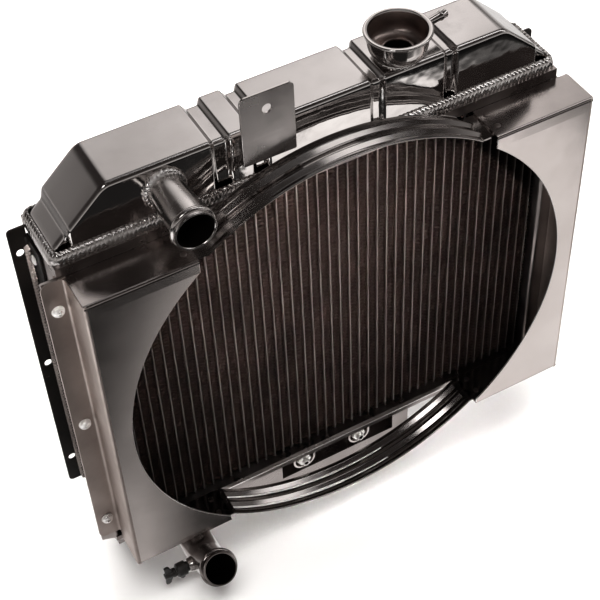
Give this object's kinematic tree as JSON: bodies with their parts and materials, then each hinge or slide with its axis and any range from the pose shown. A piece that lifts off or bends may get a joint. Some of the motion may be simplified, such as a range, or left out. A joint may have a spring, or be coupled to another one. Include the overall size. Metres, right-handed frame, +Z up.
{
  "type": "car radiator",
  "caption": "Aluminium car radiator with welded upper and lower tanks, a fan shroud with a round opening, hose pipes, an open filler neck, side mounting angles and a turning drain cock.",
  "frame": {"origin": "middle of the bounding box's base, so z = 0 is the lower tank's underside", "axes": "+X across the car to the right when facing the fan shroud, +Y from the shroud through the core, +Z up"},
  "size_m": [0.61, 0.1732, 0.641],
  "materials": {
    "core_fins": "matt black fins with bare light tube noses",
    "side_sheet": "brushed sheet",
    "black_bracket": "satin black paint",
    "fasteners": "bright plated",
    "shroud_sheet": "satin sheet, slightly hazy",
    "arc_band": "dark glossy bead-rolled sheet",
    "header_plate": "satin",
    "polished_tank": "mirror polished",
    "lower_tank": "brushed",
    "weld_metal": "rippled weld",
    "pipe_metal": "brushed round",
    "neck_metal": "polished spun neck",
    "bracket_sheet": "satin",
    "cooler_metal": "machined",
    "drain_black": "moulded black"
  },
  "bodies": {
    "radiator": {"core": "core_fins", "side_channel_left": "side_sheet", "mount_flange_left": "black_bracket", "shroud_panel_left": "shroud_sheet", "shroud_screw_left_1": "fasteners", "shroud_screw_left_2": "fasteners", "shroud_screw_left_3": "fasteners", "mount_bolt_left_1": "fasteners", "mount_bolt_left_2": "fasteners", "mount_bolt_left_3": "fasteners", "side_channel_right": "side_sheet", "mount_flange_right": "black_bracket", "shroud_panel_right": "shroud_sheet", "shroud_screw_right_1": "fasteners", "shroud_screw_right_2": "fasteners", "shroud_screw_right_3": "fasteners", "mount_bolt_right_1": "fasteners", "mount_bolt_right_2": "fasteners", "mount_bolt_right_3": "fasteners", "shroud_arc_top": "arc_band", "arc_rivet_top_left_1": "fasteners", "arc_rivet_top_left_2": "fasteners", "arc_rivet_top_right_1": "fasteners", "arc_rivet_top_right_2": "fasteners", "shroud_arc_bottom": "arc_band", "arc_rivet_bottom_left_1": "fasteners", "arc_rivet_bottom_left_2": "fasteners", "arc_rivet_bottom_right_1": "fasteners", "arc_rivet_bottom_right_2": "fasteners", "top_header": "header_plate", "top_tank": "polished_tank", "bottom_header": "header_plate", "bottom_tank": "lower_tank", "top_weld_bead": "weld_metal", "bottom_weld_bead": "weld_metal", "inlet_pipe": "pipe_metal", "inlet_weld": "weld_metal", "outlet_pipe": "pipe_metal", "outlet_weld": "weld_metal", "filler_neck": "neck_metal", "filler_weld": "weld_metal", "overflow_nipple": "pipe_metal", "tank_bracket": "bracket_sheet", "bracket_weld_left": "weld_metal", "bracket_weld_right": "weld_metal", "oil_cooler": "cooler_metal", "cooler_bung_1": "cooler_metal", "cooler_fitting_1": "cooler_metal", "cooler_bung_2": "cooler_metal", "cooler_fitting_2": "cooler_metal", "drain_bung": "pipe_metal", "drain_body": "drain_black"},
    "drain_cock": {"drain_key": "drain_black", "drain_plug": "fasteners"}
  },
  "joints": [
    {"name": "drain_turn", "type": "hinge", "parent": "radiator", "child": "drain_cock", "pos_m": [-0.229, -0.03538, 0.02767], "axis": [1, 0, 0], "range_deg": [0, 90]}
  ]
}
